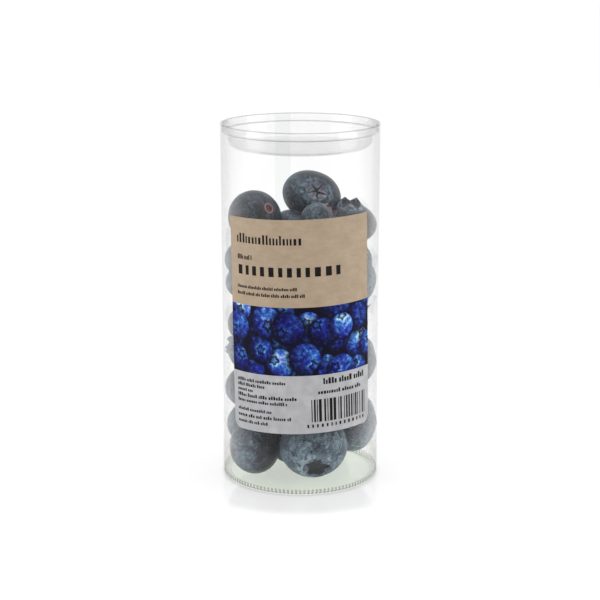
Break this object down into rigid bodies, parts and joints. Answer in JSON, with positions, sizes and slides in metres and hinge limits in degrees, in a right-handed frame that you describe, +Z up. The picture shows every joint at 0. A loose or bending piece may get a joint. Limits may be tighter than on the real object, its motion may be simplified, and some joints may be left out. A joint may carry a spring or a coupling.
{
  "type": "tube of blueberries",
  "caption": "Clear round plastic tube with a sunk plug lid and a wrapped paper label, filled with large blueberries",
  "frame": {"origin": "middle of the underside, on the surface that the tube stands on", "axes": "+Z up along the tube, -Y to the front where the label is, +X to the right of the label"},
  "size_m": [0.062, 0.0627, 0.1408],
  "materials": {
    "clear_plastic": "clear, glossy",
    "label_paper": "uncoated brown paper look, printed",
    "blueberry_skin": "dark blue skin under a pale waxy bloom"
  },
  "bodies": {
    "root": {"tube": "clear_plastic", "base": "clear_plastic", "lid": "clear_plastic", "label": "label_paper", "berries": "blueberry_skin"}
  },
  "joints": []
}
